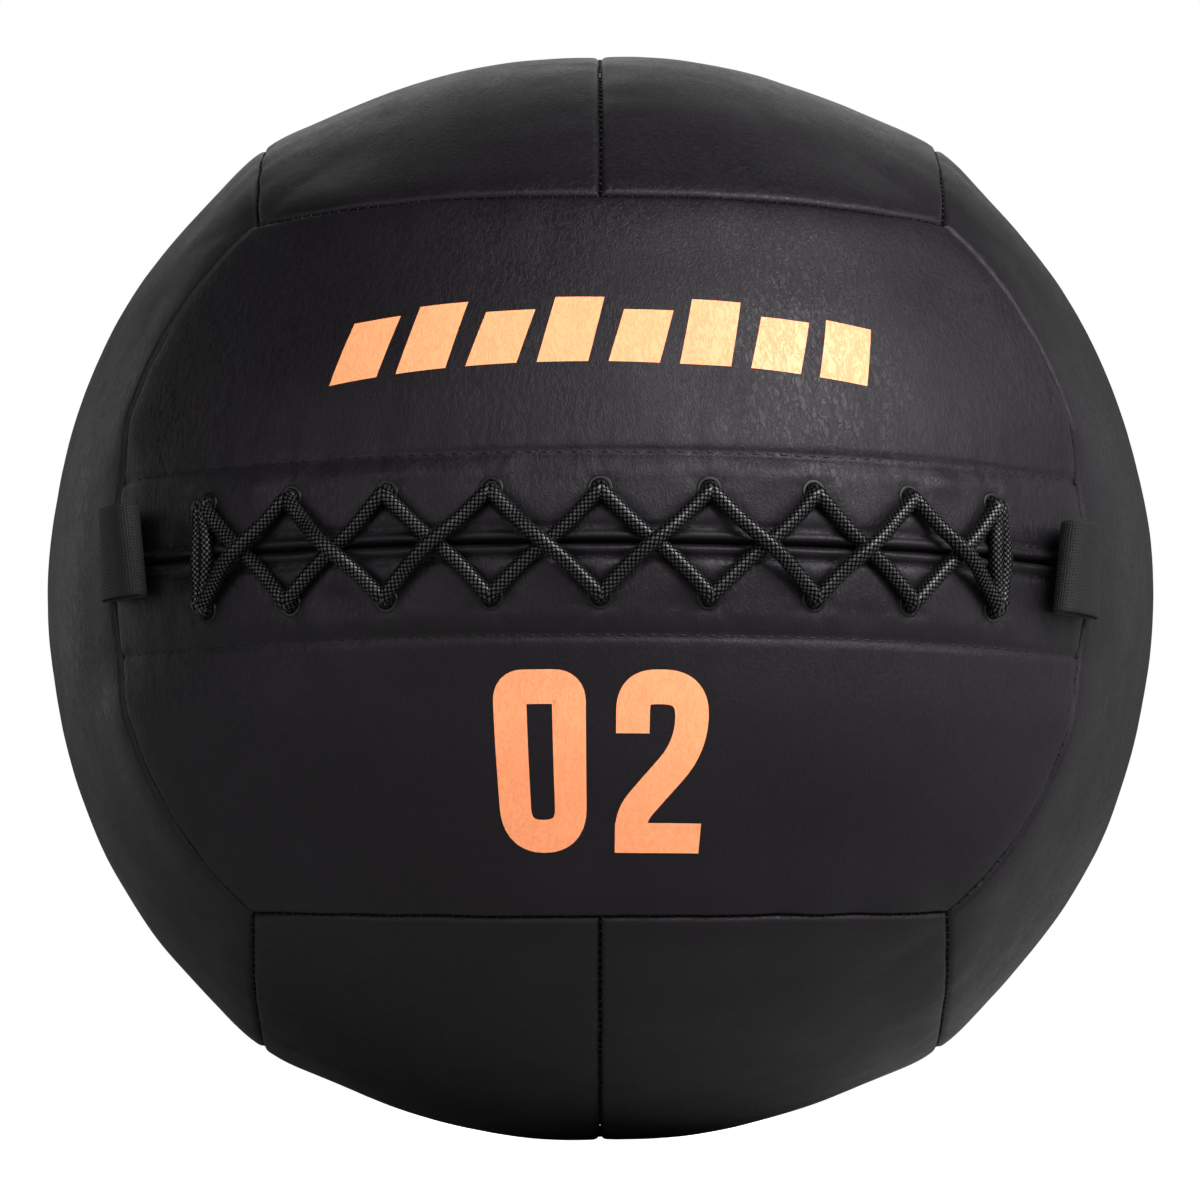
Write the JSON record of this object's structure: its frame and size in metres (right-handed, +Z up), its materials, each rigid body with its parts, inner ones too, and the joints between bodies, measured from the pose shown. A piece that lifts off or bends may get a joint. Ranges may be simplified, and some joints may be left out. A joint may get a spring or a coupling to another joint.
{
  "type": "medicine ball",
  "caption": "Soft laced medicine ball with a panelled cover, crossed lacing through eyelets and webbing loops at the ends of the slit.",
  "frame": {"origin": "centre of the flat patch on which the settled ball rests", "axes": "+Z up; the laced slit faces -Y and runs along X; +X is on the right of someone facing the slit"},
  "size_m": [0.35, 0.3575, 0.3465],
  "materials": {
    "cover_leather": "satin grained",
    "facing_leather": "matt",
    "foam": "matt foam",
    "eyelet_metal": "gloss black",
    "lace_cord": "braided, slight sheen",
    "webbing": "ribbed woven",
    "liner_fabric": "plain canvas",
    "filling_fabric": "shredded textile"
  },
  "bodies": {
    "ball": {"front_lower_panel": "cover_leather", "front_upper_panel": "cover_leather", "back_lower_panel": "cover_leather", "back_upper_panel": "cover_leather", "top_left_panel": "cover_leather", "top_right_panel": "cover_leather", "bottom_left_panel": "cover_leather", "bottom_right_panel": "cover_leather", "left_front_panel": "cover_leather", "left_back_panel": "cover_leather", "right_front_panel": "cover_leather", "right_back_panel": "cover_leather", "front_lower_padding": "foam", "front_upper_padding": "foam", "back_lower_padding": "foam", "back_upper_padding": "foam", "top_left_padding": "foam", "top_right_padding": "foam", "bottom_left_padding": "foam", "bottom_right_padding": "foam", "left_front_padding": "foam", "left_back_padding": "foam", "right_front_padding": "foam", "right_back_padding": "foam", "upper_facing": "facing_leather", "lower_facing": "facing_leather", "lacing_tongue": "facing_leather", "upper_eyelets": "eyelet_metal", "lower_eyelets": "eyelet_metal", "upper_eyelet_washers": "eyelet_metal", "lower_eyelet_washers": "eyelet_metal", "lace": "lace_cord", "liner_bag_front": "liner_fabric", "liner_bag_back": "liner_fabric", "textile_filling": "filling_fabric"},
    "loop_left": {"webbing_loop_left": "webbing"},
    "loop_right": {"webbing_loop_right": "webbing"}
  },
  "joints": [
    {"name": "loop_left_swing", "type": "hinge", "parent": "ball", "child": "loop_left", "pos_m": [-0.14745, -0.09791, 0.175], "axis": [0, 0, -1], "range_deg": [0, 142], "stiffness_Nm_per_rad": 0.004},
    {"name": "loop_right_swing", "type": "hinge", "parent": "ball", "child": "loop_right", "pos_m": [0.14745, -0.09791, 0.17], "axis": [0, 0, 1], "range_deg": [0, 142], "stiffness_Nm_per_rad": 0.004}
  ]
}
